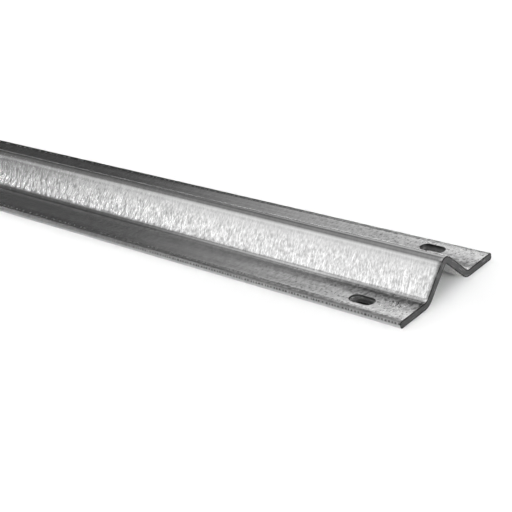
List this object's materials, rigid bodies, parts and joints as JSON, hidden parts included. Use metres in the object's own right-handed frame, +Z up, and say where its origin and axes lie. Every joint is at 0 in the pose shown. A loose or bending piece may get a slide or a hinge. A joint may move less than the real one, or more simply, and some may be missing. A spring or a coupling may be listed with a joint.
{
  "type": "ridge rail",
  "caption": "Straight galvanised steel rail with an inverted V ridge between two flat flanges, slotted near its ends to be bolted down to a concrete floor.",
  "frame": {"origin": "on the ground plane, under the middle of the rail's length and width", "axes": "+X along the rail towards one cut end, +Y across it, +Z up from the ground through the crest"},
  "size_m": [0.5, 0.06, 0.0149],
  "materials": {
    "galvanised_steel": "satin hot-dip zinc with fine streaks across the rail and dull drag marks along its flanges"
  },
  "bodies": {
    "root": {"rail": "galvanised_steel"}
  },
  "joints": []
}
